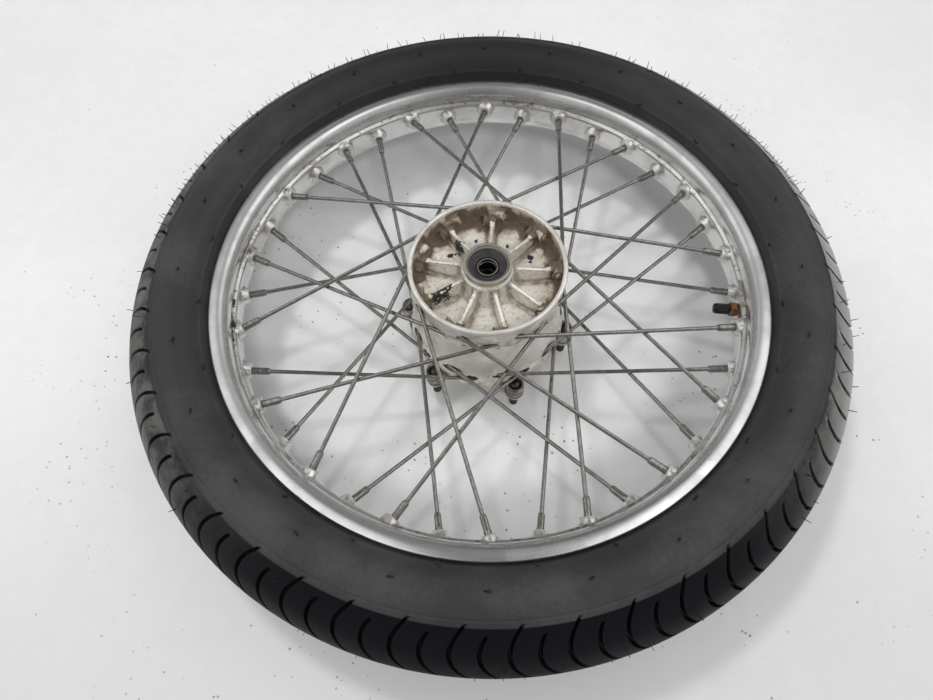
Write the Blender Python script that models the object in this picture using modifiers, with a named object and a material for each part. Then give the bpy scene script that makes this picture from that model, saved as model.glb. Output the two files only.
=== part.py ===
"""Spoked motorcycle wheel, 18-inch rim, 36 straight-pull spokes, cast hub with two ball bearings.

The wheel stands upright. Its centre is the origin and it spins about the world Y axis. Everything is
built round a local Z axis along the axle, +Z towards the open side of the hub, and one parent empty
turns that axis onto world -Y. Angles run anticlockwise as seen from the open side. Units are metres.
"""

from math import acos, cos, pi, radians, sin

import bmesh
import bpy
from mathutils import Matrix, Vector

# Resolution
TYRE_STEPS = 40
HUB_STEPS = 27
BEARING_STEPS = 24
SPOKE_SIDES = 6
VALVE_HOLE_SIDES = 8
VALVE_STEPS = 12
TUBE_CORNERS = 8
CAGE_STEPS = 16
LUG_SIDES = 10

# Fits
CLEARANCE = 0.0004
HOUSING_GAP = 0.0003
OVERCUT = 0.001

# Rim
FLANGE_R = 0.242
FLANGE_HALF_WIDTH = 0.0257
BEAD_SEAT_R = 0.2286
WELL_OUTER_R = 0.2237
WELL_INNER_R = 0.2215
WELL_HALF_WIDTH = 0.009
NIPPLE_HOLE_START = -0.006
NIPPLE_HOLE_END = 0.012

# Rim tape and inner tube
TAPE_INNER_R = 0.2289
TAPE_OUTER_R = 0.2300
TAPE_HALF_WIDTH = 0.0095
TUBE_MIDDLE_R = 0.2670
TUBE_HALF_HEIGHT = 0.0330
TUBE_HALF_WIDTH = 0.0290
TUBE_WALL = 0.0025

# Tyre
CROWN_R = 0.315
TYRE_HALF_WIDTH = 0.0448
TYRE_WIDEST_R = 0.269

# Spokes and nipples
SPOKE_COUNT = 36
FIRST_SPOKE_ANGLE = 87.76
SPOKE_R = 0.0017
HEAD_R = 0.0032
HEAD_THICK = 0.0024
NIPPLE_R = 0.0031
NIPPLE_LENGTH = 0.019
NIPPLE_TAPER = 0.001
NIPPLE_HEAD_R = 0.0039
NIPPLE_HEAD_THICK = 0.0015
NIPPLE_SEAT_R = 0.2203
NIPPLE_OFFSET = 0.003
THROUGH_RIM = 0.0051
# By spoke number mod 4: (turning sense, tangent radius, height at the hub, seat distance past the tangent)
LACING = (
    (1, 0.065, 0.0245, 0.0095),
    (-1, 0.066, -0.0335, 0.0060),
    (-1, 0.065, 0.0348, 0.0020),
    (1, 0.066, -0.0430, 0.0060),
)

# Hub
RING_R = 0.068
RING_TOP = 0.047
BOSS_TOP = 0.0474
BOSS_R = 0.0208
FLANGE_BOTTOM = -0.058
LOWER_FLANGE_R = 0.072
WEB_TOP = 0.016
RIB_COUNT = 9
RIB_ANGLE = 2.5
RIB_THICK = 0.004
# (inner radius, outer radius, root height, free edge's height at the boss, free edge's height at the wall)
OPEN_RIB = (0.0222, 0.0650, 0.0130, 0.0370, 0.0300)
BACK_RIB = (0.0220, 0.0580, 0.0120, -0.0400, -0.0300)
SPOKE_BOSS_R = 0.0062
SPOKE_BOSS_LENGTH = 0.018
SPOKE_BOSS_SIDES = 6
POCKET_LENGTH = 0.0055
POCKET_SIDE_ROOM = 0.0007
POCKET_REACH = 0.0085
POCKET_FLOOR = 0.0015
SPOKE_HOLE_END = 0.050

# Bearings, seals and core
BEARING_BORE_R = 0.0076
BEARING_R = 0.0175
BEARING_WIDTH = 0.011
SHOULDER_R = 0.0150
RACE_INNER_R = 0.0093
RACE_OUTER_R = 0.0157
BALL_PITCH_R = 0.0125
BALL_R = 0.0028
BALL_COUNT = 8
CAGE_HALF_THICK = 0.0008
CAGE_HALF_WIDTH = 0.0022
OPEN_BEARING_TOP = 0.038
FLANGE_BEARING_TOP = -0.041
SEAL_R = 0.0182
DISTANCE_TUBE_R = 0.0098
COLLAR_TOP = 0.042
SEAL_LIP_R = 0.0100
SEAL_GAP = 0.0008
SEAL_TOP = 0.0455
SEAL_BOTTOM = -0.0595

# Flange studs
STUD_COUNT = 6
FIRST_STUD_ANGLE = 47.5
STUD_CIRCLE_R = 0.0745
STUD_R = 0.004
LUG_R = 0.0068
LUG_TOP = -0.046
LUG_BOTTOM = FLANGE_BOTTOM
STUD_END = -0.085
STUD_HOLE_SIDES = 8
STUD_SIDES = 6
STUD_HEAD_R = 0.0052
STUD_HEAD_HEIGHT = 0.0034
SPOTFACE_R = 0.0061
SPOTFACE_HEIGHT = 0.0080
WASHER_R = 0.0078
WASHER_THICK = 0.0015
STUD_NUT_R = 0.0072
STUD_NUT_THICK = 0.007

# Valve
VALVE_ANGLE = 352.8
VALVE_R = 0.004
CAP_R = 0.00475
CAP_INNER_END = 0.2005
CAP_LENGTH = 0.014
NUT_SEAT_R = 0.2203
NUT_R = 0.0068
NUT_SIDES = 6
NUT_THICK = 0.0055
NUT_BORE_R = VALVE_R + 0.0002
STEM_TIP_R = 0.0026
STEM_TIP_START = 0.2035
STEM_SHOULDER = 0.2155
STEM_END = 0.2420
CAP_BORE_R = 0.0031

for old in list(bpy.data.objects):
    bpy.data.objects.remove(old, do_unlink=True)

PARTS = bpy.data.collections.new("spoked_wheel")
CUTTERS = bpy.data.collections.new("cutters")
bpy.context.scene.collection.children.link(PARTS)
bpy.context.scene.collection.children.link(CUTTERS)

AXLE = bpy.data.objects.new("axle_direction", None)
AXLE.rotation_euler = (pi / 2, 0, 0)
PARTS.objects.link(AXLE)


def make_material(name, colour, roughness, metallic):
    made = bpy.data.materials.new(name)
    made.use_nodes = True
    shader = made.node_tree.nodes["Principled BSDF"]
    shader.inputs["Base Color"].default_value = (*colour, 1)
    shader.inputs["Roughness"].default_value = roughness
    shader.inputs["Metallic"].default_value = metallic
    return made


def own_material(obj, colour, roughness, metallic):
    obj.data.materials.clear()
    obj.data.materials.append(make_material(obj.name + "_finish", colour, roughness, metallic))


TYRE_LOOK = ((0.035, 0.036, 0.038), 0.75, 0.0)
RUBBER_LOOK = ((0.02, 0.02, 0.022), 0.6, 0.0)
RIM_LOOK = ((0.80, 0.80, 0.81), 0.25, 1.0)
CAST_LOOK = ((0.62, 0.59, 0.53), 0.6, 0.6)
SPOKE_LOOK = ((0.45, 0.45, 0.44), 0.45, 0.9)
STEEL_LOOK = ((0.70, 0.70, 0.71), 0.25, 1.0)
RUST_LOOK = ((0.40, 0.17, 0.05), 0.7, 0.5)
TAPE_LOOK = ((0.12, 0.11, 0.10), 0.8, 0.0)
CAP_LOOK = ((0.025, 0.025, 0.025), 0.5, 0.0)


def polar(radius, degrees, height=0.0):
    return Vector((radius * cos(radians(degrees)), radius * sin(radians(degrees)), height))


def along(origin, direction, side=Vector((0, 0, 1))):
    """A matrix at origin whose Z runs along direction, and whose X lies as near to side as it can."""
    z = direction.normalized()
    x = (side - side.dot(z) * z).normalized()
    y = z.cross(x)
    return Matrix.Translation(origin) @ Matrix((x, y, z)).transposed().to_4x4()


def add_object(name, mesh, look, matrix=None):
    made = bpy.data.objects.new(name, mesh)
    PARTS.objects.link(made)
    made.parent = AXLE
    if matrix is not None:
        made.matrix_local = matrix
    if look is not None:
        own_material(made, *look)
    return made


def profile_mesh(name, points, closed=True):
    """The outline of a turned shape in the XZ plane, from (radius, height) points."""
    mesh = bpy.data.meshes.new(name)
    count = len(points)
    edges = [(i, (i + 1) % count) for i in range(count if closed else count - 1)]
    mesh.from_pydata([(radius, 0, height) for radius, height in points], edges, [])
    return mesh


def add_screw(obj, steps):
    screw = obj.modifiers.new("turn", "SCREW")
    screw.steps = screw.render_steps = steps
    screw.use_merge_vertices = True
    screw.merge_threshold = 0.00001
    screw.use_smooth_shade = True


def turned(name, points, steps, look, closed=True, matrix=None):
    obj = add_object(name, profile_mesh(name, points, closed), look, matrix)
    add_screw(obj, steps)
    return obj


def ring(name, inner, outer, bottom, top, steps, look):
    return turned(name, [(inner, top), (outer, top), (outer, bottom), (inner, bottom)], steps, look)


def mirrored(points):
    """A closed outline from its upper half, which starts inside, runs over the top and ends outside."""
    return points + [(radius, -height) for radius, height in reversed(points)]


def add_cylinder(bm, matrix, radius, start, end, sides):
    """A closed cylinder along the matrix's Z, from start to end, with a corner on X as turned shapes have."""
    middle = Matrix.Translation((0, 0, (start + end) / 2)) @ Matrix.Rotation(pi / 2, 4, "Z")
    bmesh.ops.create_cone(
        bm,
        cap_ends=True,
        segments=sides,
        radius1=radius,
        radius2=radius,
        depth=end - start,
        matrix=matrix @ middle,
    )


def add_block(bm, matrix, low, high):
    """A closed box between two corners in the matrix's frame."""
    low, high = Vector(low), Vector(high)
    size = Matrix.Diagonal((*(high - low), 1))
    bmesh.ops.create_cube(bm, size=1, matrix=matrix @ Matrix.Translation((low + high) / 2) @ size)


def helper_object(name, bm):
    """A hidden mesh that a Boolean reads."""
    mesh = bpy.data.meshes.new(name)
    bmesh.ops.recalc_face_normals(bm, faces=bm.faces)
    bm.to_mesh(mesh)
    bm.free()
    made = bpy.data.objects.new(name, mesh)
    CUTTERS.objects.link(made)
    made.parent = AXLE
    made.hide_render = True
    made.display_type = "WIRE"
    return made


def add_boolean(obj, other, operation):
    boolean = obj.modifiers.new(other.name, "BOOLEAN")
    boolean.operation = operation
    boolean.object = other
    boolean.use_self = operation == "UNION"


class Spoke:
    """One spoke's straight line, from its tangent point at the hub to its nipple's seat in the rim."""

    def __init__(self, number):
        self.number = number
        self.sense, self.tangent_r, hub_height, self.seat = LACING[number % 4]
        rim_angle = FIRST_SPOKE_ANGLE + number * 360 / SPOKE_COUNT
        turn = self.sense * acos(self.tangent_r / NIPPLE_SEAT_R) * 180 / pi
        self.tangent_angle = rim_angle + turn
        tangent = polar(self.tangent_r, self.tangent_angle, hub_height)
        rim_height = NIPPLE_OFFSET if number % 2 == 0 else -NIPPLE_OFFSET
        nipple = polar(NIPPLE_SEAT_R, rim_angle, rim_height)
        self.length = (nipple - tangent).length
        self.matrix = along(tangent, nipple - tangent)

    def outline(self):
        """Head, shank, nipple and nipple head as one turned outline, written from the rim end down."""
        top = self.length + THROUGH_RIM + NIPPLE_HEAD_THICK
        nipple_start = self.length - NIPPLE_LENGTH
        head_end = -self.seat - HEAD_THICK
        return [
            (0, top),
            (NIPPLE_HEAD_R, top),
            (NIPPLE_HEAD_R, top - NIPPLE_HEAD_THICK),
            (NIPPLE_R, top - NIPPLE_HEAD_THICK),
            (NIPPLE_R, nipple_start),
            (SPOKE_R, nipple_start - NIPPLE_TAPER),
            (SPOKE_R, -self.seat),
            (HEAD_R, -self.seat),
            (HEAD_R, head_end),
            (0, head_end),
        ]


SPOKES = [Spoke(number) for number in range(SPOKE_COUNT)]


def make_spokes():
    shared = {}
    for spoke in SPOKES:
        family = spoke.number % 4
        if family not in shared:
            shared[family] = profile_mesh(f"spoke_{family}", spoke.outline(), closed=False)
            shared[family].materials.append(make_material(f"spoke_finish_{family}", *SPOKE_LOOK))
        made = add_object(f"spoke_{spoke.number + 1:02d}", shared[family], None, spoke.matrix)
        add_screw(made, SPOKE_SIDES)


def add_valve_hole(bm, start, end):
    """A cutter along the valve's radius, from one distance to another."""
    axis = along(Vector(), polar(1, VALVE_ANGLE))
    add_cylinder(bm, axis, VALVE_R + CLEARANCE, start, end, VALVE_HOLE_SIDES)


def make_rim():
    half = [
        (WELL_INNER_R, WELL_HALF_WIDTH),
        (0.2250, 0.0115),
        (0.2260, 0.0195),
        (0.2315, FLANGE_HALF_WIDTH),
        (FLANGE_R, FLANGE_HALF_WIDTH),
        (FLANGE_R, 0.0224),
        (0.2325, 0.0222),
        (0.2294, 0.0200),
        (BEAD_SEAT_R, 0.0125),
        (WELL_OUTER_R, WELL_HALF_WIDTH),
    ]
    rim = turned("rim", mirrored(half), TYRE_STEPS, RIM_LOOK)
    holes = bmesh.new()
    for spoke in SPOKES:
        start, end = spoke.length + NIPPLE_HOLE_START, spoke.length + NIPPLE_HOLE_END
        add_cylinder(holes, spoke.matrix, NIPPLE_R + CLEARANCE, start, end, SPOKE_SIDES)
    add_valve_hole(holes, WELL_INNER_R - OVERCUT, BEAD_SEAT_R + OVERCUT)
    add_boolean(rim, helper_object("rim_holes", holes), "DIFFERENCE")
    return rim


def make_tyre():
    half = [
        (0.2302, 0.0135),
        (0.2304, 0.0198),
        (0.2335, 0.0214),
        (0.2430, 0.0216),
        (0.2434, 0.0270),
        (0.2560, 0.0415),
        (TYRE_WIDEST_R, TYRE_HALF_WIDTH),
        (0.2840, 0.0405),
        (0.2980, 0.0300),
        (0.3090, 0.0170),
        (CROWN_R, 0.0),
    ]
    lining = [(0.3040, 0.0), (0.2950, 0.0190), (0.2690, 0.0370), (0.2470, 0.0250), (0.2380, 0.0150)]
    outside = half + [(radius, -height) for radius, height in reversed(half[:-1])]
    upper = lining[1:]
    inside = [(radius, -height) for radius, height in reversed(upper)] + [lining[0]] + upper
    return turned("tyre", outside + inside, TYRE_STEPS, TYRE_LOOK)


def make_rim_tape():
    half = TAPE_HALF_WIDTH
    tape = ring("rim_tape", TAPE_INNER_R, TAPE_OUTER_R, -half, half, TYRE_STEPS, TAPE_LOOK)
    hole = bmesh.new()
    add_valve_hole(hole, TAPE_INNER_R - OVERCUT * 2, TAPE_OUTER_R + OVERCUT * 2)
    add_boolean(tape, helper_object("tape_hole", hole), "DIFFERENCE")
    return tape


def oval(middle, half_height, half_width):
    """A closed oval outline, running clockwise so that its outer side goes down."""
    turns = [pi * (1 - 2 * i) / TUBE_CORNERS for i in range(TUBE_CORNERS)]
    return [(middle + half_height * cos(turn), half_width * sin(turn)) for turn in turns]


def make_inner_tube():
    """A thin hollow ring, open only where the valve stem passes through its wall."""
    height, width = TUBE_HALF_HEIGHT, TUBE_HALF_WIDTH
    tube = turned("inner_tube", oval(TUBE_MIDDLE_R, height, width), TYRE_STEPS // 2, RUBBER_LOOK)
    lining = oval(TUBE_MIDDLE_R, height - TUBE_WALL, width - TUBE_WALL)
    hollow = bpy.data.objects.new("tube_hollow", profile_mesh("tube_hollow", lining))
    CUTTERS.objects.link(hollow)
    hollow.parent = AXLE
    hollow.hide_render = True
    add_screw(hollow, TYRE_STEPS // 2)
    add_boolean(tube, hollow, "DIFFERENCE")
    hole = bmesh.new()
    inside = TUBE_MIDDLE_R - TUBE_HALF_HEIGHT
    add_valve_hole(hole, inside - TUBE_WALL * 2, inside + TUBE_WALL * 4)
    add_boolean(tube, helper_object("tube_hole", hole), "DIFFERENCE")
    return tube


def make_valve():
    axis = along(Vector(), polar(-1, VALVE_ANGLE))
    stem_r = VALVE_R - CLEARANCE
    stem = [
        (0, -STEM_TIP_START),
        (STEM_TIP_R, -STEM_TIP_START),
        (STEM_TIP_R, -STEM_SHOULDER),
        (stem_r, -STEM_SHOULDER),
        (stem_r, -STEM_END),
        (0, -STEM_END),
    ]
    turned("valve_stem", stem, VALVE_STEPS, SPOKE_LOOK, closed=False, matrix=axis)
    nut_low = -NUT_SEAT_R
    nut_outline = [
        (NUT_BORE_R, nut_low + NUT_THICK),
        (NUT_R, nut_low + NUT_THICK),
        (NUT_R, nut_low),
        (NUT_BORE_R, nut_low),
    ]
    turned("valve_nut", nut_outline, NUT_SIDES, RUST_LOOK, matrix=axis)
    cap_top = -CAP_INNER_END
    bore_end = CLEARANCE - STEM_TIP_START
    cap = [
        (0, cap_top),
        (CAP_R, cap_top),
        (CAP_R, cap_top - CAP_LENGTH),
        (CAP_BORE_R, cap_top - CAP_LENGTH),
        (CAP_BORE_R, bore_end),
        (0, bore_end),
    ]
    turned("valve_cap", cap, VALVE_STEPS, CAP_LOOK, closed=False, matrix=axis)


def hub_outline():
    """The turned casting: two bored ends, the open recess, the web, the wall and the hollow flange side."""
    bearing_r = BEARING_R + HOUSING_GAP
    seal_r = SEAL_R + HOUSING_GAP
    open_shoulder = OPEN_BEARING_TOP - BEARING_WIDTH - HOUSING_GAP
    far_shoulder = FLANGE_BEARING_TOP + HOUSING_GAP
    far_seat = FLANGE_BEARING_TOP - BEARING_WIDTH - HOUSING_GAP
    return [
        (seal_r, BOSS_TOP),
        (BOSS_R, BOSS_TOP),
        (BOSS_R, 0.0400),
        (0.0229, 0.0390),
        (0.0240, 0.0200),
        (0.0300, WEB_TOP),
        (0.0560, WEB_TOP),
        (0.0625, 0.0220),
        (0.0645, 0.0400),
        (0.0640, RING_TOP),
        (RING_R, RING_TOP),
        (RING_R, 0.0425),
        (0.0668, 0.0410),
        (0.0668, 0.0210),
        (0.0620, 0.0040),
        (0.0605, -0.0140),
        (0.0630, -0.0250),
        (LOWER_FLANGE_R, -0.0360),
        (LOWER_FLANGE_R, FLANGE_BOTTOM),
        (0.0600, FLANGE_BOTTOM),
        (0.0600, -0.0480),
        (0.0570, -0.0300),
        (0.0550, 0.0080),
        (0.0260, 0.0100),
        (0.0230, -0.0610),
        (seal_r, -0.0610),
        (seal_r, far_seat),
        (bearing_r, far_seat),
        (bearing_r, far_shoulder),
        (SHOULDER_R, far_shoulder),
        (SHOULDER_R, open_shoulder),
        (bearing_r, open_shoulder),
        (bearing_r, OPEN_BEARING_TOP + HOUSING_GAP),
        (seal_r, OPEN_BEARING_TOP + HOUSING_GAP),
    ]


def add_rib(bm, degrees, shape):
    """A flat rib between boss and wall, with a free edge that slopes."""
    inner_r, outer_r, bottom, top, outer_top = shape
    turn = Matrix.Rotation(radians(degrees), 4, "Z")
    before = set(bm.verts)
    add_block(bm, turn, (inner_r, -RIB_THICK / 2, bottom), (outer_r, RIB_THICK / 2, top))
    for vert in set(bm.verts) - before:
        local = turn.inverted() @ vert.co
        if local.x > (inner_r + outer_r) / 2 and abs(local.z - top) < 1e-6:
            vert.co = turn @ Vector((local.x, local.y, outer_top))


def make_hub():
    hub = turned("hub", hub_outline(), HUB_STEPS, CAST_LOOK)
    added = bmesh.new()
    for rib in range(RIB_COUNT):
        degrees = RIB_ANGLE + rib * 360 / RIB_COUNT
        add_rib(added, degrees, OPEN_RIB)
        add_rib(added, degrees, BACK_RIB)
    for spoke in SPOKES[::2]:
        start = -spoke.seat - POCKET_LENGTH - POCKET_FLOOR
        end = start + SPOKE_BOSS_LENGTH
        add_cylinder(added, spoke.matrix, SPOKE_BOSS_R, start, end, SPOKE_BOSS_SIDES)
    for stud in range(STUD_COUNT):
        place = Matrix.Translation(polar(STUD_CIRCLE_R, FIRST_STUD_ANGLE + stud * 360 / STUD_COUNT))
        add_cylinder(added, place, LUG_R, LUG_BOTTOM, LUG_TOP, LUG_SIDES)
    add_boolean(hub, helper_object("hub_castings", added), "UNION")

    spoke_holes = bmesh.new()
    for spoke in SPOKES:
        start = -spoke.seat - OVERCUT
        add_cylinder(spoke_holes, spoke.matrix, SPOKE_R + CLEARANCE, start, SPOKE_HOLE_END, SPOKE_SIDES)
    add_boolean(hub, helper_object("hub_spoke_holes", spoke_holes), "DIFFERENCE")

    pockets = bmesh.new()
    for spoke in SPOKES:
        inward = -Vector((spoke.matrix[0][3], spoke.matrix[1][3], 0)).normalized()
        place = along(spoke.matrix.translation, spoke.matrix.col[2].to_3d(), inward)
        reach = HEAD_R + POCKET_SIDE_ROOM
        low = (-reach, -reach, -spoke.seat - POCKET_LENGTH)
        add_block(pockets, place, low, (POCKET_REACH, reach, -spoke.seat + CLEARANCE))
    add_boolean(hub, helper_object("hub_seat_pockets", pockets), "DIFFERENCE")

    stud_cuts = bmesh.new()
    for stud in range(STUD_COUNT):
        place = Matrix.Translation(polar(STUD_CIRCLE_R, FIRST_STUD_ANGLE + stud * 360 / STUD_COUNT))
        bottom, top = LUG_BOTTOM - OVERCUT, LUG_TOP + OVERCUT
        add_cylinder(stud_cuts, place, STUD_R + CLEARANCE, bottom, top, STUD_HOLE_SIDES)
        add_cylinder(stud_cuts, place, SPOTFACE_R, LUG_TOP, LUG_TOP + SPOTFACE_HEIGHT, LUG_SIDES)
    cutter = helper_object("hub_stud_holes", stud_cuts)
    add_boolean(hub, cutter, "DIFFERENCE")
    hub.modifiers[cutter.name].use_self = True
    return hub


def make_studs():
    """Each stud with its domed head above the lug, and its washer and nut tight below it."""
    washer_top = LUG_BOTTOM - CLEARANCE
    nut_top = washer_top - WASHER_THICK
    outline = [
        (0, LUG_TOP + STUD_HEAD_HEIGHT),
        (STUD_HEAD_R * 0.65, LUG_TOP + STUD_HEAD_HEIGHT * 0.76),
        (STUD_HEAD_R, LUG_TOP + CLEARANCE),
        (STUD_R, LUG_TOP + CLEARANCE),
        (STUD_R, washer_top),
        (WASHER_R, washer_top),
        (WASHER_R, nut_top),
        (STUD_NUT_R, nut_top),
        (STUD_NUT_R, nut_top - STUD_NUT_THICK),
        (STUD_R, nut_top - STUD_NUT_THICK),
        (STUD_R, STUD_END),
        (0, STUD_END),
    ]
    mesh = profile_mesh("flange_stud", outline, closed=False)
    mesh.materials.append(make_material("stud_finish", *STEEL_LOOK))
    for stud in range(STUD_COUNT):
        place = Matrix.Translation(polar(STUD_CIRCLE_R, FIRST_STUD_ANGLE + stud * 360 / STUD_COUNT))
        made = add_object(f"flange_stud_{stud + 1}", mesh, None, place)
        add_screw(made, STUD_SIDES)


def make_ball_cage(name, top):
    """The balls and their cage ring as one rolling piece."""
    middle = top - BEARING_WIDTH / 2
    inner, outer = BALL_PITCH_R - CAGE_HALF_THICK, BALL_PITCH_R + CAGE_HALF_THICK
    bottom, cage_top = middle - CAGE_HALF_WIDTH, middle + CAGE_HALF_WIDTH
    cage = ring(name, inner, outer, bottom, cage_top, CAGE_STEPS, STEEL_LOOK)
    balls = bmesh.new()
    for ball in range(BALL_COUNT):
        place = Matrix.Translation(polar(BALL_PITCH_R, ball * 360 / BALL_COUNT, middle))
        bmesh.ops.create_uvsphere(balls, u_segments=6, v_segments=4, radius=BALL_R, matrix=place)
    add_boolean(cage, helper_object(name + "_balls", balls), "UNION")


def make_bearing(side, top):
    bottom = top - BEARING_WIDTH
    ring(f"bearing_outer_ring_{side}", RACE_OUTER_R, BEARING_R, bottom, top, BEARING_STEPS, STEEL_LOOK)
    ring(f"bearing_inner_ring_{side}", BEARING_BORE_R, RACE_INNER_R, bottom, top, BEARING_STEPS, STEEL_LOOK)
    make_ball_cage(f"ball_cage_{side}", top)


def make_core():
    make_bearing("open_side", OPEN_BEARING_TOP)
    make_bearing("flange_side", FLANGE_BEARING_TOP)
    tube_bottom, tube_top = FLANGE_BEARING_TOP + CLEARANCE, OPEN_BEARING_TOP - BEARING_WIDTH - CLEARANCE
    ring("distance_tube", BEARING_BORE_R, DISTANCE_TUBE_R, tube_bottom, tube_top, BEARING_STEPS, STEEL_LOOK)
    collar_bottom = OPEN_BEARING_TOP + CLEARANCE
    ring("axle_collar", BEARING_BORE_R, RACE_INNER_R, collar_bottom, COLLAR_TOP, BEARING_STEPS, STEEL_LOOK)
    open_seal = [
        (SEAL_LIP_R, 0.0415),
        (0.0120, 0.0425),
        (0.0165, SEAL_TOP),
        (SEAL_R, SEAL_TOP),
        (SEAL_R, OPEN_BEARING_TOP + SEAL_GAP),
        (SEAL_LIP_R, OPEN_BEARING_TOP + SEAL_GAP),
    ]
    turned("seal_open_side", open_seal, BEARING_STEPS, RUBBER_LOOK)
    seal_start = FLANGE_BEARING_TOP - BEARING_WIDTH - SEAL_GAP
    flange_seal = [
        (SEAL_LIP_R, seal_start),
        (SEAL_R, seal_start),
        (SEAL_R, SEAL_BOTTOM),
        (0.0165, SEAL_BOTTOM),
        (0.0120, -0.0565),
        (SEAL_LIP_R, -0.0555),
    ]
    turned("seal_flange_side", flange_seal, BEARING_STEPS, RUBBER_LOOK)


make_tyre()
make_inner_tube()
make_rim_tape()
make_rim()
make_spokes()
make_hub()
make_studs()
make_valve()
make_core()
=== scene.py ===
"""Looks of a spoked motorcycle wheel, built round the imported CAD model.

Shapes are worked out in the wheel's own frame in millimetres: Z is the axle, +Z points to the open side of
the hub, and angles run anticlockwise as seen from there. to_row_frame() turns that into the row frame.
"""

from math import cos, hypot, pi, radians, sin

import bpy
import numpy as np
import openvdb
from mathutils import Matrix, Vector


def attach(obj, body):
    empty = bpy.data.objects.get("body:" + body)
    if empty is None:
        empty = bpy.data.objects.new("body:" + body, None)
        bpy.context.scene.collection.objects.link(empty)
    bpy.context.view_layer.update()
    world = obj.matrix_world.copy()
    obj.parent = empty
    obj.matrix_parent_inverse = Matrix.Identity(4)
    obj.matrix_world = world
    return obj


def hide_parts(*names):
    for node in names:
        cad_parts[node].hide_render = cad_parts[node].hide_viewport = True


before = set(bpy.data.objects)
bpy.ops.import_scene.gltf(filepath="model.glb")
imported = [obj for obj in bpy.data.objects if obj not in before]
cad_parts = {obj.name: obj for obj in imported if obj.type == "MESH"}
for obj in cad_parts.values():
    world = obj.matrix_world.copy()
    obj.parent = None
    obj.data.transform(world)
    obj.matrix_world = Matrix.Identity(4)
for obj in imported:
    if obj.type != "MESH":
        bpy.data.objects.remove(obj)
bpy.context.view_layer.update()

RANDOM = np.random.default_rng(11)
SPOKE_COUNT = 36
SIDE_FOLD = 40.0  # the hub repeats every 40 degrees: one rib and four spokes

# Tyre, in millimetres. ARC is the distance along the outside from the middle of the tread.
BEAD_R = 243.6
CROWN_R = 315.0
PITCH_COUNT = 46
LONG_GROOVE_ANGLE = 256.4
LONG_GROOVE_ARC = 52.0
SHORT_GROOVE_ARC = 44.5
GROOVE_END_ARC = 3.0
GROOVE_DEPTH = 4.2
GROOVE_HALF_WIDTH = 1.7
GROOVE_FLOOR_HALF = 1.0
TREAD_EDGE_ARC = 49.6
LINE_ARC = 54.8
PROTECTOR_R = 246.2

# Spokes and nipples
SPOKE_R = 1.75
HEAD_R = 3.2
HEAD_THICK = 2.4
NIPPLE_R = 3.1
NIPPLE_LENGTH = 19.0
UPPER_HEAD_CIRCLE_R = 60.8  # the upper spokes' ends bend in to this distance from the axle
BEND_LENGTH = 22.0
NIPPLE_END = 6.6  # from the rim's inside face to the spoke's far end

# Rim
KNOB_R = 8.6
KNOB_TOP_R = 6.6
KNOB_HEIGHT = 3.4

# Hub
BOSS_R = 20.8
BOSS_TOP = 47.4
RING_TOP = 47.0
RIB_ANGLE = 2.5
LUG_CIRCLE_R = 74.5
FIRST_LUG_ANGLE = 47.5
LUG_COUNT = 6
STUD_PITCH = 1.25
# Burnt stains in the open recess: distance from the axle, angle, height, size
BURNS = (
    (42.0, 126, 24, 6.5),
    (36.0, 121, 26, 5.0),
    (40.0, 199, 28, 7.5),
    (48.0, 203, 27, 6.5),
    (44.9, 136, 16, 3.0),
    (45.9, 100, 17, 2.2),
    (47.5, 32, 16, 3.2),
    (45.0, 28, 16, 2.2),
    (43.6, 62, 17, 2.8),
)
HUB_VOXEL = 1.0

# Valve
VALVE_ANGLE = 352.8
STEM_PITCH = 0.8
CAP_RIBS = 16

# Camera, in degrees and metres
CAMERA_TILT = 62.9017
CAMERA_ROLL = -2.2561
CAMERA_LENS = 27.02
CAMERA_PLACE = (-0.02062, -0.53949, -0.33325)


# ---------------------------------------------------------------- points and meshes


def to_row_frame(points):
    """Wheel-frame millimetres to the row frame's metres."""
    scaled = np.asarray(points, float) * 0.001
    return np.stack([scaled[:, 0], -scaled[:, 2], scaled[:, 1]], axis=1)


def node_points(name):
    """A CAD node's vertices in the wheel's frame, in millimetres."""
    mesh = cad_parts[name].data
    flat = np.empty(len(mesh.vertices) * 3)
    mesh.vertices.foreach_get("co", flat)
    row = flat.reshape(-1, 3) * 1000
    return np.stack([row[:, 0], row[:, 2], -row[:, 1]], axis=1)


def polar(radius, degrees, height=0.0):
    return np.array([radius * cos(radians(degrees)), radius * sin(radians(degrees)), height])


def turn_matrix(z_axis, side=(0, 0, 1)):
    """A 3x3 matrix whose Z column is z_axis and whose X column lies as near to side as it can."""
    z = np.asarray(z_axis, float) / np.linalg.norm(z_axis)
    x = np.asarray(side, float) - np.dot(side, z) * z
    x /= np.linalg.norm(x)
    return np.stack([x, np.cross(z, x), z], axis=1)


def placed(points, origin, turn):
    return np.asarray(points) @ turn.T + np.asarray(origin)


def ring_faces(rows, columns, closed):
    """Quads over a grid of points that wraps round its columns, and over its rows too when closed."""
    row, column = np.meshgrid(np.arange(rows if closed else rows - 1), np.arange(columns), indexing="ij")
    next_row, next_column = (row + 1) % rows, (column + 1) % columns
    corners = [(row, column), (row, next_column), (next_row, next_column), (next_row, column)]
    return np.stack([(r * columns + c).ravel() for r, c in corners], axis=1)


def swept(outline, angles):
    """A grid of points with a row for each (radius, height) and a column for each angle round Z."""
    outline = np.asarray(outline, float)
    radius, height = outline[:, :1], np.repeat(outline[:, 1:], len(angles), axis=1)
    return np.stack([radius * np.cos(angles), radius * np.sin(angles), height], axis=2)


def turned_ring(outline, sides):
    """Points and faces of a closed (radius, height) outline that stays clear of the axis, turned round Z."""
    grid = swept(outline, np.arange(sides) * 2 * pi / sides)
    return grid.reshape(-1, 3), [ring_faces(len(outline), sides, True)]


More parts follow.
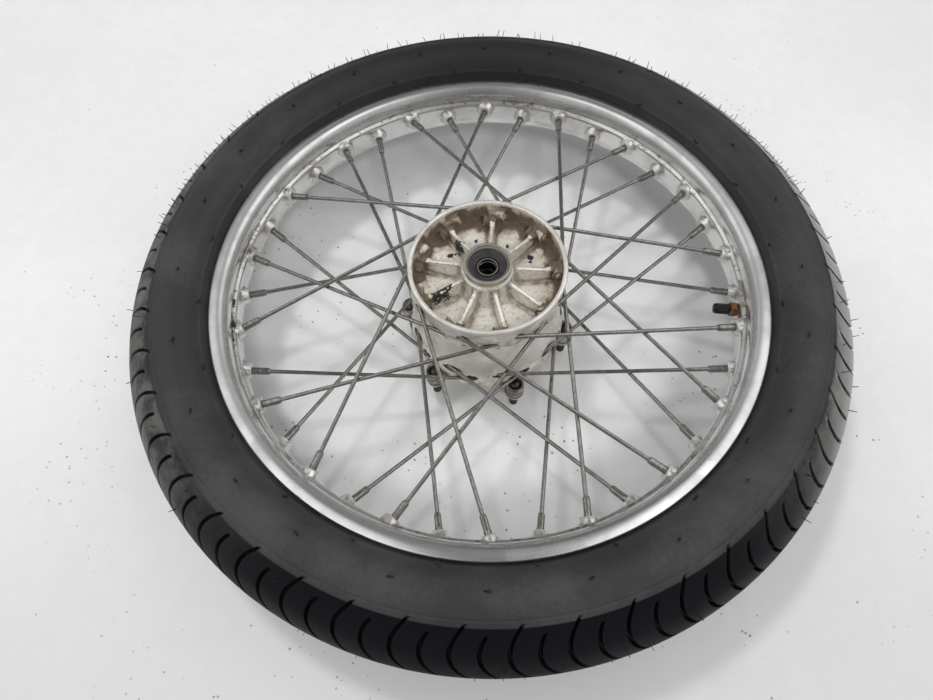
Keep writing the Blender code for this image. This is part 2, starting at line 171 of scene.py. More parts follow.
def turned_solid(outline, sides):
    """The same for an outline whose two ends lie on the axis."""
    outline = np.asarray(outline, float)
    points, _ = turned_ring(outline[1:-1], sides)
    rows = len(outline) - 2
    ends = np.array([[0, 0, outline[0, 1]], [0, 0, outline[-1, 1]]])
    first, last = rows * sides, rows * sides + 1
    corner = np.arange(sides)
    following = (corner + 1) % sides
    low = np.stack([np.full(sides, first), following, corner], axis=1)
    high = np.stack([np.full(sides, last), corner, following], axis=1) + (rows - 1) * sides
    high[:, 0] = last
    return np.vstack([points, ends]), [ring_faces(rows, sides, False), low, high]


def rounded(outline, radius, closed=True, steps=3):
    """The outline with its corners eased. A point may carry its own radius as a third number."""
    eased = []
    corners = [(Vector(point[:2]), point[2] if len(point) > 2 else radius) for point in outline]
    for index, (corner, reach) in enumerate(corners):
        if not closed and index in (0, len(corners) - 1):
            eased.append(tuple(corner))
            continue
        before, after = corners[index - 1][0], corners[(index + 1) % len(corners)][0]
        start = corner + (before - corner).normalized() * min(reach, (before - corner).length * 0.45)
        end = corner + (after - corner).normalized() * min(reach, (after - corner).length * 0.45)
        for step in range(steps + 1):
            t = step / steps
            eased.append(tuple(start * (1 - t) ** 2 + corner * 2 * t * (1 - t) + end * t * t))
    return eased


def divided(outline, spacing, closed=True):
    """The outline with extra points, so that no edge is longer than spacing."""
    outline = [np.array(point, float) for point in outline]
    made = []
    for index in range(len(outline) if closed else len(outline) - 1):
        start, end = outline[index], outline[(index + 1) % len(outline)]
        count = max(1, int(np.ceil(np.linalg.norm(end - start) / spacing)))
        made += [start + (end - start) * step / count for step in range(count)]
    return made if closed else made + [outline[-1]]


def turned_profile(outline, corner, spacing, sides):
    """A turned solid whose outline is eased and then divided."""
    return turned_solid(divided(rounded(outline, corner, closed=False), spacing, closed=False), sides)


def radii(points):
    return np.hypot(points[:, 0], points[:, 1])


def unit(values):
    """The values, kept between 0 and 1."""
    return np.clip(values, 0, 1)


def between(values, low, high):
    return (values > low) & (values < high)


def with_radii(points, used, wanted):
    """The points, the used ones moved to the wanted distance from Z."""
    points = np.array(points, float)
    points[:, :2] *= np.where(used, wanted / np.maximum(radii(points), 1e-9), 1.0)[:, None]
    return points


def limited_to_prism(points, sides, across, low=-1e9, high=1e9):
    """Cuts flats on round points: between low and high they stay inside a prism of that width across."""
    half = pi / sides
    fold = (np.arctan2(points[:, 1], points[:, 0]) + half) % (2 * half) - half
    limit = across / 2 / np.cos(fold)
    return with_radii(points, between(points[:, 2], low, high) & (radii(points) > limit), limit)


def threaded(points, pitch, depth, low, high, least):
    """Presses a helical thread into the points between low and high that lie outside the radius least."""
    radius = radii(points)
    phase = (points[:, 2] / pitch - np.arctan2(points[:, 1], points[:, 0]) / (2 * pi)) % 1
    pressed = depth * (1 - np.abs(2 * phase - 1))
    return with_radii(points, between(points[:, 2], low, high) & (radius > least), radius - pressed)


def joined(shapes):
    """Several (points, faces) shapes as one."""
    points, faces, count = [], [], 0
    for shape_points, shape_faces in shapes:
        points.append(shape_points)
        faces += [group + count for group in shape_faces]
        count += len(shape_points)
    return np.vstack(points), faces


def signed_volume(points, faces):
    total = 0.0
    for group in faces:
        corners = [points[group[:, i]] for i in range(group.shape[1])]
        for i in range(1, group.shape[1] - 1):
            total += np.einsum("ij,ij->", corners[0], np.cross(corners[i], corners[i + 1]))
    return total


def linked(name, data):
    made = bpy.data.objects.new(name, data)
    bpy.context.scene.collection.objects.link(made)
    return made


def new_piece(name, shape, look, node, body="wheel", sharp=38, attributes=None):
    """A mesh from wheel-frame points, riding on a CAD body and shown in a CAD node's place."""
    points, faces = shape
    material, slot = look
    if signed_volume(points, faces) < 0:
        faces = [group[:, ::-1] for group in faces]
    mesh = bpy.data.meshes.new(name)
    mesh.from_pydata(to_row_frame(points).tolist(), [], [face for group in faces for face in group.tolist()])
    mesh.shade_smooth()
    mesh.set_sharp_from_angle(angle=radians(sharp))
    mesh.materials.append(material)
    for label, values in (attributes or {}).items():
        layer = mesh.attributes.new(label, "FLOAT", "POINT")
        layer.data.foreach_set("value", np.asarray(values, np.float32).ravel())
    piece = linked(name, mesh)
    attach(piece, body)
    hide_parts(node)


# ---------------------------------------------------------------- materials


class Wire:
    """A node's output, so that sums and products of outputs read as arithmetic."""

    def __init__(self, graph, socket):
        self.graph, self.socket = graph, socket

    def __add__(self, other):
        return self.graph.maths("ADD", self, other)

    def __mul__(self, other):
        return self.graph.maths("MULTIPLY", self, other)

    def __sub__(self, other):
        return self.graph.maths("SUBTRACT", self, other)

    def __rsub__(self, other):
        return self.graph.maths("SUBTRACT", other, self)


class Graph:
    """A node tree, written as calls that return wires."""

    def __init__(self, tree):
        self.nodes, self.links = tree.nodes, tree.links

    def feed(self, socket, value):
        if isinstance(value, Wire):
            self.links.new(value.socket, socket)
        elif isinstance(value, tuple) and len(value) == 3 and socket.type == "RGBA":
            socket.default_value = (*value, 1)
        else:
            socket.default_value = value

    def wire(self, node_type, output):
        return Wire(self, self.nodes.new(node_type).outputs[output])

    def maths(self, operation, first, second=0.0):
        node = self.nodes.new("ShaderNodeMath")
        node.operation = operation
        self.feed(node.inputs[0], first)
        self.feed(node.inputs[1], second)
        return Wire(self, node.outputs[0])

    def larger(self, first, second):
        return self.maths("MAXIMUM", first, second)

    def spread(self, value, low, high, to_low=0.0, to_high=1.0, kind="SMOOTHSTEP"):
        """Maps low..high onto to_low..to_high, clamped, and smoothly unless kind says otherwise."""
        node = self.nodes.new("ShaderNodeMapRange")
        node.interpolation_type = kind
        for socket, given in zip(node.inputs, (value, low, high, to_low, to_high)):
            self.feed(socket, given)
        return Wire(self, node.outputs[0])

    def mix(self, share, first, second, blend="MIX"):
        node = self.nodes.new("ShaderNodeMix")
        node.data_type = "RGBA"
        node.blend_type = blend
        for socket, value in zip((node.inputs["Factor"], *node.inputs[6:8]), (share, first, second)):
            self.feed(socket, value)
        return Wire(self, node.outputs[2])

    def parts(self, vector):
        node = self.nodes.new("ShaderNodeSeparateXYZ")
        self.feed(node.inputs[0], vector)
        return [Wire(self, output) for output in node.outputs]


class Finish(Graph):
    """A procedural material."""

    def __init__(self, name):
        self.material = bpy.data.materials.new(name)
        self.material.use_nodes = True
        super().__init__(self.material.node_tree)
        self.shader = self.nodes["Principled BSDF"]
        self.place = self.wire("ShaderNodeTexCoord", "Object")

    def texture(self, kind, size, output, **settings):
        """A texture whose features are about size millimetres across."""
        node = self.nodes.new(kind)
        for name, value in {"Vector": self.place, "Scale": 1000 / size, **settings}.items():
            self.feed(node.inputs[name], value)
        return Wire(self, node.outputs[output])

    def noise(self, size, detail=4.0, roughness=0.55, **settings):
        """Noise from 0 to 1."""
        settings = {"Detail": detail, "Roughness": roughness, **settings}
        return self.texture("ShaderNodeTexNoise", size, "Fac", **settings)

    def blotches(self, size, low, high, to_low=0.0, to_high=1.0, **settings):
        """Noise spread over a range."""
        return self.spread(self.noise(size, **settings), low, high, to_low, to_high)

    def dots(self, size, inner, outer):
        """Round dots size millimetres apart: 1 within inner cell sizes of a dot's centre, 0 past outer."""
        distance = self.texture("ShaderNodeTexVoronoi", size, "Distance")
        return self.spread(distance, inner, outer, 1.0, 0.0)

    def attribute(self, name):
        node = self.nodes.new("ShaderNodeAttribute")
        node.attribute_name = name
        return Wire(self, node.outputs["Fac"])

    def axes(self):
        """The place's X, Y and Z, and its distance from the axle, all in metres."""
        x, y, z = self.parts(self.place)
        return x, y, z, self.maths("SQRT", x * x + z * z)

    def lathe_marks(self, size):
        """Fine noise that changes along the axle and the radius but not round the axle."""
        _, y, _, radius = self.axes()
        node = self.nodes.new("ShaderNodeCombineXYZ")
        self.feed(node.inputs[0], radius)
        self.feed(node.inputs[1], y)
        return self.noise(size, detail=3, Vector=Wire(self, node.outputs[0]))

    def bump(self, height, depth):
        """A bump from a 0..1 height that stands for depth millimetres."""
        node = self.nodes.new("ShaderNodeBump")
        for name, value in (("Strength", 1.0), ("Distance", depth / 1000), ("Height", height)):
            self.feed(node.inputs[name], value)
        self.feed(self.shader.inputs["Normal"], Wire(self, node.outputs[0]))

    def done(self, colour, roughness, metallic=0.0, specular=0.5):
        given = {"Base Color": colour, "Roughness": roughness, "Metallic": metallic}
        given["Specular IOR Level"] = specular
        for name, value in given.items():
            self.feed(self.shader.inputs[name], value)
        return self.material


def tyre_rubber():
    look = Finish("tyre_rubber_look")
    x, _, z, _ = look.axes()
    tread = look.attribute("tread")
    cloud = look.noise(60, detail=3)
    fine = look.noise(3.5, detail=5)
    dust = look.spread(cloud + fine * 0.35, 0.55, 0.95)
    wall = look.mix(dust, (0.032, 0.032, 0.034), (0.056, 0.056, 0.057))
    # Painted shade: the sidewall is darkened on the far side of the wheel, away from the viewer.
    wall = look.mix(look.spread(z, 0.12, 0.29, 0.0, 0.85), wall, (0.012, 0.012, 0.013))
    top = look.mix(dust, (0.013, 0.013, 0.014), (0.040, 0.039, 0.038))
    # This mask is 0 on the near side of the wheel, towards the viewer, and 1 elsewhere: dust and sheen go only
    # where it is 1, and a painted shade darkens the tread where it is 0.
    edge_wear_or_unshaded_tread = look.spread(z, -0.27, -0.12)
    brown = look.blotches(17, 0.36, 0.66, detail=5, roughness=0.65)
    top = look.mix(brown * edge_wear_or_unshaded_tread, top, (0.105, 0.100, 0.088))
    facing = look.wire("ShaderNodeLayerWeight", "Facing")
    # Partly dust, partly a painted sheen: the tread on the right side turns light grey where it is seen at a
    # grazing angle.
    dust_and_painted_sheen = look.spread(facing, 0.35, 0.85) * look.spread(x, 0.10, 0.26)
    top = look.mix(dust_and_painted_sheen * edge_wear_or_unshaded_tread, top, (0.33, 0.325, 0.315))
    # Painted shade: the tread on the near side, towards the viewer, is darkened almost to black.
    top = look.mix(edge_wear_or_unshaded_tread, (0.006, 0.006, 0.008), top)
    # Painted shade: the floors of the grooves are darkened almost to black.
    top = look.mix(look.spread(look.attribute("groove"), 0.1, 0.6), top, (0.004, 0.004, 0.004))
    gloss = look.spread((1.0 - edge_wear_or_unshaded_tread) * tread, 0.0, 1.0, 0.33, 0.08)
    look.bump(fine + look.noise(0.9, detail=2), 0.05)
    return look.done(look.mix(tread, wall, top), look.spread(cloud, 0.3, 0.7, 0.44, 0.60), specular=gloss)


def plain_rubber(name, dark, light, roughness):
    look = Finish(name)
    look.bump(look.noise(0.8, detail=2), 0.03)
    return look.done(look.mix(look.blotches(9, 0.3, 0.75), dark, light), roughness)


def seal_rubber():
    """Grey rubber, lighter and browner at its outer edge."""
    look = Finish("seal_look")
    radius = look.axes()[3]
    cloud = look.blotches(6, 0.3, 0.75, detail=5)
    colour = look.mix(cloud, (0.018, 0.018, 0.020), (0.045, 0.045, 0.048))
    colour = look.mix(look.spread(radius, 0.0163, 0.0172), colour, (0.17, 0.155, 0.13))
    look.bump(look.noise(0.8, detail=2), 0.03)
    return look.done(colour, look.spread(cloud, 0.0, 1.0, 0.42, 0.6))


def polished_rim():
    look = Finish("polished_rim_look")
    x, _, _, radius = look.axes()
    marks = look.lathe_marks(0.6)
    smudges_and_painted_reflection = look.noise(38, detail=5, Distortion=0.6)
    fine = look.noise(4, detail=5)
    chalk = look.attribute("corroded")
    satin = look.attribute("satin")
    # Partly real smudges, partly a painted reflection: broad darker patches in the metal's colour stand for the
    # dark streaks that the polished rim reflects.
    clean = look.mix(look.spread(smudges_and_painted_reflection, 0.35, 0.7), (0.86, 0.86, 0.87), (0.66, 0.66, 0.66))
    wall = look.mix(look.spread(smudges_and_painted_reflection, 0.4, 0.65), (0.78, 0.775, 0.76), (0.62, 0.61, 0.58))
    colour = look.mix(satin, clean, wall)
    dots = look.dots(7, 0.05, 0.13) * look.blotches(55, 0.55, 0.68)
    colour = look.mix(dots * 0.6, colour, (0.20, 0.17, 0.13))
    crust = look.mix(look.blotches(2.2, 0.40, 0.62), (0.72, 0.70, 0.65), (0.44, 0.38, 0.30))
    patch = look.spread(chalk + fine * 0.9, 0.75, 1.25)
    colour = look.mix(patch * 0.4, colour, crust)
    crumbs = look.attribute("crevice") * 0.8 + look.noise(4.5, detail=6, roughness=0.7)
    crumbs = crumbs + look.noise(40) * 0.6
    colour = look.mix(look.spread(crumbs, 1.62, 1.74) * 0.7, colour, (0.17, 0.145, 0.11))
    black = look.spread(look.attribute("scuff") + look.noise(7, detail=5), 1.42, 1.5)
    colour = look.mix(black, colour, (0.035, 0.03, 0.03))
    sides = look.spread(x * x, 0.016, 0.045) * look.spread(radius, 0.229, 0.233)
    rough = look.spread(marks, 0.2, 0.8, 0.15, 0.24) + satin * 0.02
    rough = rough + look.spread(smudges_and_painted_reflection, 0.45, 0.75, 0.0, 0.12) + sides * 0.2 + (patch + black) * 0.16
    look.bump(marks + fine * chalk * 3.0, 0.03)
    return look.done(colour, rough, 1.0 - satin * 0.08 - look.larger(patch, black) * 0.45)


def galvanised(name, shade, spots):
    """Dull grey plated steel with brown specks, and a crust where the head attribute is set."""
    look = Finish(name)
    rust = look.blotches(5, 0.62 - spots, 0.74 - spots, detail=6, roughness=0.7)
    darker = tuple(0.7 * part for part in shade)
    colour = look.mix(look.blotches(3.5, 0.35, 0.65), shade, darker)
    colour = look.mix(rust * 0.7, colour, (0.16, 0.115, 0.07))
    crust = look.mix(look.blotches(3, 0.4, 0.65), (0.66, 0.61, 0.52), (0.36, 0.30, 0.22))
    head = look.attribute("head")
    rust = look.larger(rust, head)
    rough = look.blotches(14, 0.3, 0.7, 0.13, 0.28, detail=5) + rust * 0.25
    look.bump(look.noise(1.2, detail=3), 0.04)
    return look.done(look.mix(head, colour, crust), rough, look.spread(rust, 0.0, 1.0, 0.92, 0.4))


def cast_hub():
    look = Finish("cast_hub_look")
    recess, bare = look.attribute("recess"), look.attribute("bare")
    grain = look.noise(1.6)
    cloud = look.noise(11, detail=7, roughness=0.68)
    wide = look.blotches(45, 0.35, 0.65)
    cream = look.mix(wide, (0.93, 0.905, 0.84), (0.80, 0.765, 0.69))
    outer = look.mix(wide, (0.95, 0.935, 0.89), (0.72, 0.695, 0.64))
    colour = look.mix(recess, outer, cream)
    # Of the marks summed here, the last attribute is grime in the recess and on the lower flange, and also a
    # painted shade: a darker band round the outer wall under the ring.
    mud_and_shade = look.attribute("cavity") * 0.85 + cloud * 1.35 + look.attribute("grime_and_shade") * 0.55
    tan = look.spread(mud_and_shade, 0.80, 1.34)
    patchy = look.blotches(7, 0.4, 0.6, detail=6, roughness=0.7)
    colour = look.mix(tan * 0.85, colour, look.mix(patchy, (0.62, 0.54, 0.41), (0.36, 0.29, 0.20)))
    colour = look.mix(look.spread(mud_and_shade, 1.18, 1.5) * 0.9, colour, (0.085, 0.06, 0.04))
    mottle = look.blotches(3.2, 0.5, 0.62, detail=6, roughness=0.75) * recess
    colour = look.mix(mottle * 0.45, colour, (0.26, 0.21, 0.15))
    crease = look.attribute("crease") * look.blotches(6, 0.35, 0.6, 0.25, 1.0)
    colour = look.mix(crease * 0.75, colour, (0.17, 0.13, 0.09))
    specks = look.dots(3.6, 0.12, 0.22) * look.blotches(22, 0.54, 0.64, detail=3)
    colour = look.mix(specks * 0.85, colour, (0.07, 0.05, 0.035))
    scraped = look.mix(look.spread(cloud, 0.4, 0.6), (0.40, 0.39, 0.37), (0.10, 0.09, 0.08))
    colour = look.mix(bare * 0.85, colour, scraped)
    edge_wear_or_unshaded_tread = look.attribute("edge") * look.spread(grain, 0.3, 0.6, 0.05, 0.55)
    colour = look.mix(edge_wear_or_unshaded_tread, colour, (0.74, 0.71, 0.63))
    ragged = look.attribute("burn") + (look.noise(2.4, detail=5) * 2.0 + look.noise(8))
    black = look.spread(ragged, 2.10, 2.20)
    colour = look.mix(black, colour, (0.030, 0.026, 0.027))
    dirt_and_shade = look.larger(look.larger(tan, specks), black)
    look.bump(grain + cloud * 2.0, 0.2)
    metallic = look.larger(((1.0 - recess) * 0.15 + 0.45) * (1.0 - dirt_and_shade), bare * 0.9)
    return look.done(colour, look.spread(dirt_and_shade, 0.0, 1.0, 0.36, 0.75) - bare * 0.12, metallic)


def machined(name, shade, low, high):
    """Turned bright metal."""
    look = Finish(name)
    marks = look.lathe_marks(0.35)
    stain = look.blotches(7, 0.55, 0.75, detail=5)
    look.bump(marks, 0.02)
    rough = look.spread(marks, 0.2, 0.8, low, high) + stain * 0.2
    return look.done(look.mix(stain * 0.5, shade, (0.30, 0.25, 0.19)), rough, 1.0)


def rusty_steel():
    look = Finish("rusty_nut_look")
    flakes = look.noise(1.5, detail=6, roughness=0.7)
    colour = look.mix(look.spread(flakes, 0.4, 0.62), (0.045, 0.022, 0.012), (0.34, 0.15, 0.05))
    colour = look.mix(look.blotches(3, 0.5, 0.62), colour, (0.05, 0.03, 0.02))
    look.bump(flakes, 0.25)
    return look.done(colour, look.spread(flakes, 0.35, 0.7, 0.35, 0.7), 0.35)


def black_plastic():
    look = Finish("cap_plastic_look")
    scratches = look.noise(1.2)
    look.bump(scratches, 0.03)
    return look.done(look.mix(scratches, (0.004, 0.004, 0.005), (0.012, 0.012, 0.013)), 0.16, specular=0.3)


def pale_floor():
    """Pale, with a painted shade that darkens it a little towards the viewer, gritty near the wheel, and clear
    from below.
    """
    look = Finish("pale_floor_look")
    x, _, z, _ = look.axes()
    fine = look.noise(16, detail=6, roughness=0.65)
    tone = look.noise(420, detail=5) * 0.7 + fine * 0.3
    colour = look.mix(look.spread(tone, 0.35, 0.65), (0.80, 0.80, 0.805), (0.87, 0.87, 0.87))
    specks = look.dots(22, 0.03, 0.05) * look.spread(fine, 0.5, 0.6)
    colour = look.mix(specks * 0.75, colour, (0.12, 0.11, 0.10))
    grit = look.dots(8, 0.10, 0.16) * look.blotches(90, 0.50, 0.60)
    near = look.spread(x * x + z * z, 0.14, 0.24, 1.0, 0.0)
    colour = look.mix(grit * near * 0.85, colour, (0.05, 0.045, 0.04))
    # Painted shade: the floor is darkened towards the viewer, on the near side of the wheel.
    look.done(look.mix(look.spread(z, -0.50, 0.10, 0.46, 0.0), colour, (0.34, 0.34, 0.34)), 0.75)
    sides = look.nodes.new("ShaderNodeMixShader")
    look.feed(sides.inputs[0], look.wire("ShaderNodeNewGeometry", "Backfacing"))
    look.feed(sides.inputs[1], Wire(look, look.shader.outputs[0]))
    look.feed(sides.inputs[2], look.wire("ShaderNodeBsdfTransparent", 0))
    look.feed(look.nodes["Material Output"].inputs["Surface"], Wire(look, sides.outputs[0]))
    return look.material


# ---------------------------------------------------------------- tyre


def tyre_side():
    """The tyre's upper outside from bead to crown, finely sampled: radius, height, arc from crown."""
    corners = [(242, 22), (BEAD_R, 24), (246, 31), (256, 41.5), (269, 44.8), (284, 40.5), (298, 30), (309, 17)]
    corners += [(CROWN_R, 0), (309, -17)]
    samples = []
    for first, start, end, last in zip(corners, corners[1:], corners[2:], corners[3:]):
        a, b, c, d = (np.array(p, float) for p in (first, start, end, last))
        for t in np.linspace(0, 1, 60, endpoint=False):
            curve = 2 * b + (c - a) * t + (2 * a - 5 * b + 4 * c - d) * t**2 + (3 * b - a - 3 * c + d) * t**3
            samples.append(curve / 2)
    samples = np.array(samples + [(CROWN_R, 0)])
    steps = np.hypot(*np.diff(samples, axis=0).T)
    arc = np.concatenate([np.cumsum(steps[::-1])[::-1], [0]])
    return samples[:, 0], samples[:, 1], arc


def groove_drift(arc):
    """How far a groove's middle line is turned at an arc, in degrees: a hook that bends back at 29 mm."""
    return 0.0037 * (np.abs(arc) - 29) ** 2 - 1.95


def make_tyre():
    radius, height, arc = tyre_side()
    order = np.argsort(arc)
    tread_rows = np.arange(0, LONG_GROOVE_ARC + 3, 2.1)
    ridge = np.interp(PROTECTOR_R, radius, arc)
    lines = np.array([LINE_ARC - 0.9, LINE_ARC - 0.45, LINE_ARC, LINE_ARC + 0.45, LINE_ARC + 0.9])
    edge = np.array([TREAD_EDGE_ARC - 0.3, TREAD_EDGE_ARC + 0.3])
    wall = np.arange(LINE_ARC + 3, ridge - 2, 3.2)
    rim_side = np.array([-1.6, -0.9, 0.0, 0.9, 1.6])
    rows = np.unique(np.concatenate([tread_rows, lines, edge, wall, ridge + rim_side, [arc.max()]]))
    rows = rows[np.concatenate([[True], np.diff(rows) > 0.25])]
    row_r = np.interp(rows, arc[order], radius[order])
    row_z = np.interp(rows, arc[order], height[order])
    slope_r = np.gradient(row_r, rows)
    slope_z = np.gradient(row_z, rows)
    length = np.hypot(slope_r, slope_z)
    out_r, out_z = slope_z / length, -slope_r / length
    rise = 0.5 * np.exp(-(((rows - ridge) / 1.1) ** 2)) - 0.5 * np.exp(-(((rows - LINE_ARC) / 0.4) ** 2))
    rise += 0.9 * (rows < TREAD_EDGE_ARC)
    rise *= rows > 0

    half_pitch = 360 / PITCH_COUNT / 2
    mm = 180 / pi / 300
    lips = [-GROOVE_HALF_WIDTH, -GROOVE_FLOOR_HALF, GROOVE_FLOOR_HALF, GROOVE_HALF_WIDTH]
    land = [GROOVE_HALF_WIDTH + (half_pitch / mm - 2 * GROOVE_HALF_WIDTH) * step / 5 for step in range(1, 5)]
    offsets = np.array(lips + land) * mm
    wet = np.array([0, 1, 1, 0] + [0] * len(land))
    columns = np.concatenate([LONG_GROOVE_ANGLE + half_pitch * k + offsets for k in range(PITCH_COUNT * 2)])
    is_wet = np.tile(wet, PITCH_COUNT * 2)
    is_long = np.repeat(np.arange(PITCH_COUNT * 2) % 2 == 0, len(offsets))

    def surface(side):
        """The grid of outside points on one side, as rows from crown to bead."""
        long_here = is_long if side > 0 else ~is_long
        start = np.where(long_here, LONG_GROOVE_ARC, SHORT_GROOVE_ARC)[None, :]
        depth = unit((start - rows[:, None]) / 3.0)
        depth = depth * unit((rows[:, None] - GROOVE_END_ARC) / 5.0) * is_wet[None, :] * GROOVE_DEPTH
        r = row_r[:, None] + out_r[:, None] * (rise[:, None] - depth)
        z = row_z[:, None] + out_z[:, None] * (rise[:, None] - depth)
        turned_by = np.radians(columns[None, :] + groove_drift(np.minimum(rows, 56))[:, None])
        grid = np.stack([r * np.cos(turned_by), r * np.sin(turned_by), side * z], axis=2)
        return grid, depth / GROOVE_DEPTH

    upper, upper_depth = surface(1)
    lower, lower_depth = surface(-1)
    tread_mark = np.where(rows < TREAD_EDGE_ARC, 1.0, 0.0)
    bead = [(242.2, 21.9), (236.0, 21.3), (231.0, 20.6), (230.4, 19.0), (230.2, 13.5), (236.0, 13.0)]
    lining = [(247.0, 25.0), (258.0, 33.0), (269.0, 37.0), (283.0, 31.5), (295.0, 19.0), (304.0, 0.0)]
    inside = bead + lining + [(r, -z) for r, z in reversed(bead + lining[:-1])]
    turned_by = np.radians(columns + groove_drift(56.0))
    inner = swept(inside, turned_by)
    grid = np.concatenate([upper, inner, lower[:0:-1]])
    marks = np.concatenate([tread_mark, np.zeros(len(inner)), tread_mark[:0:-1]])
    shape = grid.reshape(-1, 3), [ring_faces(len(grid), len(columns), True)]
    groove = np.concatenate([upper_depth, np.zeros((len(inner), len(columns))), lower_depth[:0:-1]])
    attributes = {"tread": np.repeat(marks, len(columns)), "groove": groove}
    new_piece("tyre_body", shape, TYRE, "tyre", attributes=attributes)

    hairs = []
    strand, strand_faces = turned_solid([(0, -0.6), (0.38, -0.6), (0.34, 0.5), (0.26, 1.0), (0, 1.04)], 5)

    def add_hair(point, direction, length, thick=1.0):
        grown = strand * np.array([thick, thick, 1.0])
        grown[:, 2] = np.where(grown[:, 2] > 0, grown[:, 2] * length, grown[:, 2])
        hairs.append((placed(grown, point, turn_matrix(direction, (0.3, 0.5, 0.8))), strand_faces))

    def outward(arc_at, degrees, side):
        step_r = np.interp([arc_at + 0.5, arc_at - 0.5], arc[order], radius[order])
        step_z = np.interp([arc_at + 0.5, arc_at - 0.5], arc[order], height[order])
        along_r, along_z = step_r[1] - step_r[0], step_z[1] - step_z[0]
        return polar(-along_z, degrees, side * along_r)

    for side in (1, -1):
        for block in range(PITCH_COUNT * 2):
            middle = LONG_GROOVE_ANGLE + half_pitch * (block + 0.5)
            for arc_at, share in ((41.0, -0.13), (41.0, 0.13), (14.0, -0.12), (14.0, 0.14)):
                far_side = 15 < (middle + groove_drift(arc_at)) % 360 < 165
                if RANDOM.random() < (0.15 if far_side else 0.8):
                    continue
                degrees = middle + groove_drift(arc_at) + share * half_pitch + RANDOM.normal(0, 0.12)
                r = np.interp(arc_at, arc[order], radius[order])
                z = side * np.interp(arc_at, arc[order], height[order])
                lean = outward(arc_at, degrees, side) + RANDOM.normal(0, 0.22, 3)
                add_hair(polar(r + 0.5, degrees, z), lean, RANDOM.uniform(3.5, 7.5), RANDOM.uniform(0.8, 1.1))
        for index in range(24):
            for r, start in ((247.6, 4.7), (263.5, 12.4)):
                degrees = start + 15 * index + RANDOM.normal(0, 0.5)
                arc_at = np.interp(r, radius[:-60], arc[:-60])
                z = side * np.interp(r, radius[:-60], height[:-60])
                sideways = polar(1, degrees + 90) * RANDOM.choice([-1, 1]) * 0.8
                lean = outward(arc_at, degrees, side) * 0.6 + sideways
                lean = lean + RANDOM.normal(0, 0.2, 3)
                add_hair(polar(r, degrees, z), lean, RANDOM.uniform(3.8, 5.8), 2.3)
    new_piece("tyre_vent_hairs", joined(hairs), TYRE_HAIR, "tyre")


# ---------------------------------------------------------------- spokes, nipples and rim


class Spoke:
    """One spoke's line, read from its CAD node. z runs from the outer face of the head to the far end."""

    def __init__(self, number):
        self.node = f"spoke_{number + 1:02d}"
        points = node_points(self.node)
        middle = points.mean(axis=0)
        _, vectors = np.linalg.eigh(np.cov((points - middle).T))
        direction = vectors[:, -1]
        if hypot(*(middle + direction)[:2]) < hypot(*middle[:2]):
            direction = -direction
        reach = (points - middle) @ direction
        self.direction = direction
        self.origin = middle + direction * reach.min()
        self.total = reach.max() - reach.min()
        self.seat = self.total - NIPPLE_END
        self.turn = turn_matrix(direction)
        rim_point = self.origin + direction * self.seat
        self.rim_angle = np.degrees(np.arctan2(rim_point[1], rim_point[0]))
        self.bend = hypot(*self.origin[:2]) - UPPER_HEAD_CIRCLE_R if self.origin[2] > 0 else 0.0
        self.inward = -self.origin * np.array([1, 1, 0]) / hypot(*self.origin[:2])


def make_spokes():
    for spoke in SPOKES:
        start = spoke.seat - NIPPLE_LENGTH
        shank = [(0, 0.5), (1.6, 0.4), (HEAD_R - 0.3, 0.9, 0.5), (HEAD_R, HEAD_THICK - 0.6, 0.3)]
        shank += [(HEAD_R - 0.1, HEAD_THICK, 0.2), (SPOKE_R, HEAD_THICK + 1.2, 0.8)]
        shank += [(SPOKE_R, reach, 0.1) for reach in (6, 9, 12, 15, 18, 24)]
        shank += [(SPOKE_R, start + 3), (0, start + 3)]
        points, faces = turned_solid(rounded(shank, 0.3, closed=False), 14)
        lean = spoke.bend * unit(1 - points[:, 2:] / BEND_LENGTH) ** 2
        shape = placed(points, spoke.origin, spoke.turn) + lean * spoke.inward, faces
        head = {"head": unit(4 - points[:, 2])}
        new_piece(f"{spoke.node}_shank", shape, SPOKE_LOOK, spoke.node, attributes=head)

        collar, thick = NIPPLE_R + 0.02, NIPPLE_R + 0.7
        body = [(0, start), (SPOKE_R + 0.15, start, 0.1), (NIPPLE_R - 0.7, start, 0.4)]
        body += [(NIPPLE_R, start + 1.5, 0.4), (NIPPLE_R, start + 12.0, 0.2), (collar, start + 12.6, 0.2)]
        body += [(collar, spoke.seat + 4.5, 0.3), (thick, spoke.seat + 5.2, 0.3)]
        body += [(thick, spoke.total, 0.4), (0, spoke.total)]
        points, faces = turned_profile(body, 0.2, 3.0, 28)
        points = limited_to_prism(points, 4, 5.5, start + 0.7, start + 12.3)
        shape = placed(points, spoke.origin, spoke.turn), faces
        new_piece(f"{spoke.node}_nipple", shape, NIPPLE_LOOK, spoke.node)


